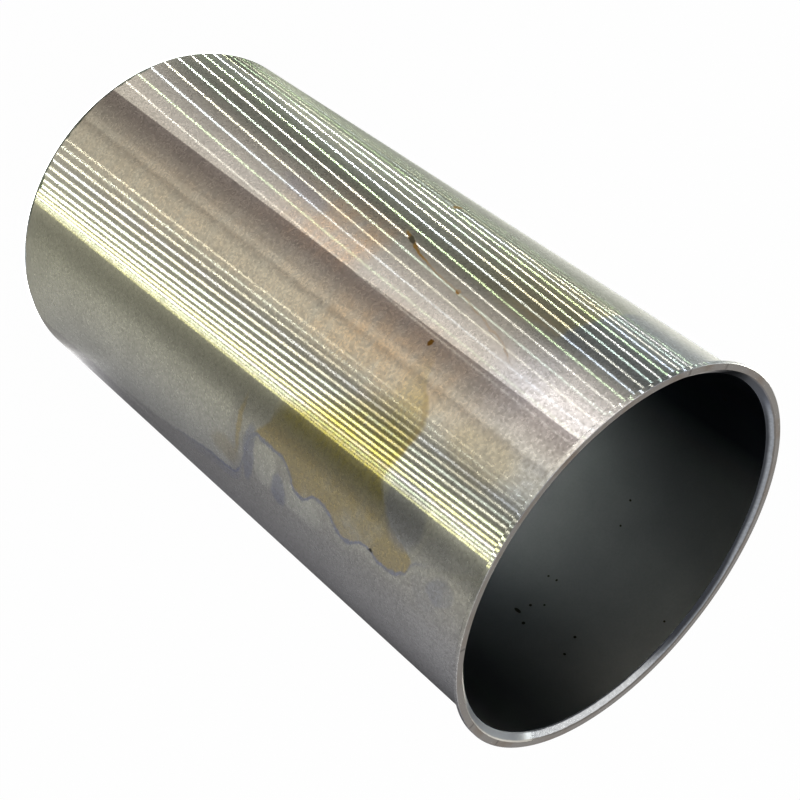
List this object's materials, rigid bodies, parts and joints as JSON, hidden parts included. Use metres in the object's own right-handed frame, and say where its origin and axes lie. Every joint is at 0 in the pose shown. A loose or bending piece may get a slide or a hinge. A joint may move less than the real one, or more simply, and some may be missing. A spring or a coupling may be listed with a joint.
{
  "type": "cylinder liner",
  "caption": "Thin-walled dry cylinder liner: a straight ground steel sleeve with a narrow flange and a chamfered bore mouth.",
  "frame": {"origin": "centre of the plain lower end face, which the liner stands on", "axes": "+Z along the bore axis, from the plain lower end to the flange"},
  "size_m": [0.1018, 0.1018, 0.1785],
  "materials": {
    "ground_steel": "ground outside with heat and oil stains, dark matt bore, turned flange face"
  },
  "bodies": {
    "root": {"cylinder_liner": "ground_steel"}
  },
  "joints": []
}
